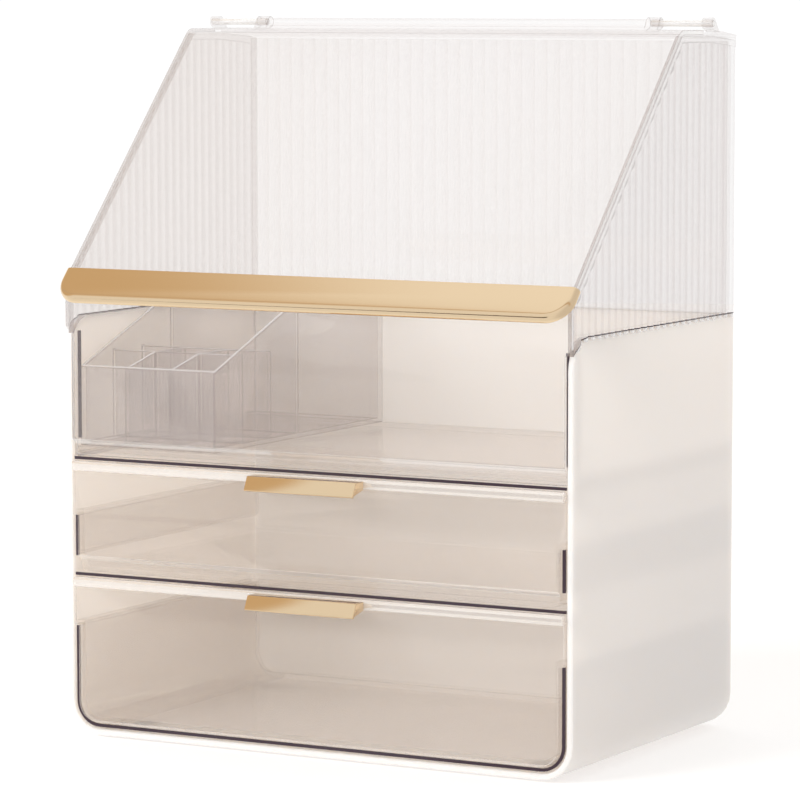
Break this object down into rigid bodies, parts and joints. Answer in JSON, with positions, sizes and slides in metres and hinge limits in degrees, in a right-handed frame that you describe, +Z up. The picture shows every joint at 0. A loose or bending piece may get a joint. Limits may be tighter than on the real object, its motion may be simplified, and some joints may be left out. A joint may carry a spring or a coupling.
{
  "type": "cosmetic organizer box",
  "caption": "Free-standing organiser with pull-out drawers, a top compartment with a lift-out divided tray, a fluted clear hood and a hinged bent lid with a full-width grip.",
  "frame": {"origin": "under the middle of the overall box, on the surface that it stands on", "axes": "+Z up, +X to the right seen from the front, -Y towards the drawer fronts"},
  "size_m": [0.307, 0.206, 0.3815],
  "materials": {
    "champagne_plastic": "polished, nearly opaque champagne tint",
    "tinted_clear_plastic": "polished, transparent with a light champagne tint",
    "clear_plastic": "polished, transparent and nearly colourless",
    "gold_plating": "bright gold electroplate on plastic",
    "foot_pad": "soft translucent pad"
  },
  "bodies": {
    "case": {"base_shell": "champagne_plastic", "compartment_shelf": "tinted_clear_plastic", "runner_lower_left": "tinted_clear_plastic", "runner_lower_right": "tinted_clear_plastic", "runner_upper_left": "tinted_clear_plastic", "runner_upper_right": "tinted_clear_plastic", "hood_side_left": "clear_plastic", "hood_side_right": "clear_plastic", "hood_rear": "clear_plastic", "hood_top": "clear_plastic", "hinge_pin_left": "clear_plastic", "hinge_pin_right": "clear_plastic", "foot_front_left": "foot_pad", "foot_front_right": "foot_pad", "foot_rear_left": "foot_pad", "foot_rear_right": "foot_pad"},
    "lid": {"lid": "clear_plastic", "lid_grip": "gold_plating"},
    "upper_drawer": {"drawer_upper": "tinted_clear_plastic", "handle_upper": "gold_plating"},
    "lower_drawer": {"drawer_lower": "tinted_clear_plastic", "handle_lower": "gold_plating"},
    "tray": {"divider_tray": "clear_plastic"}
  },
  "joints": [
    {"name": "lid_hinge", "type": "hinge", "parent": "case", "child": "lid", "pos_m": [0, 0.067, 0.3784], "axis": [-1, 0, 0], "range_deg": [0, 100]},
    {"name": "upper_drawer_slide", "type": "slide", "parent": "case", "child": "upper_drawer", "axis": [0, -1, 0], "range_m": [0, 0.135]},
    {"name": "lower_drawer_slide", "type": "slide", "parent": "case", "child": "lower_drawer", "axis": [0, -1, 0], "range_m": [0, 0.135]},
    {"name": "divider_tray_lift", "type": "slide", "parent": "case", "child": "tray", "axis": [0, 0, 1], "range_m": [0, 0.045]}
  ]
}
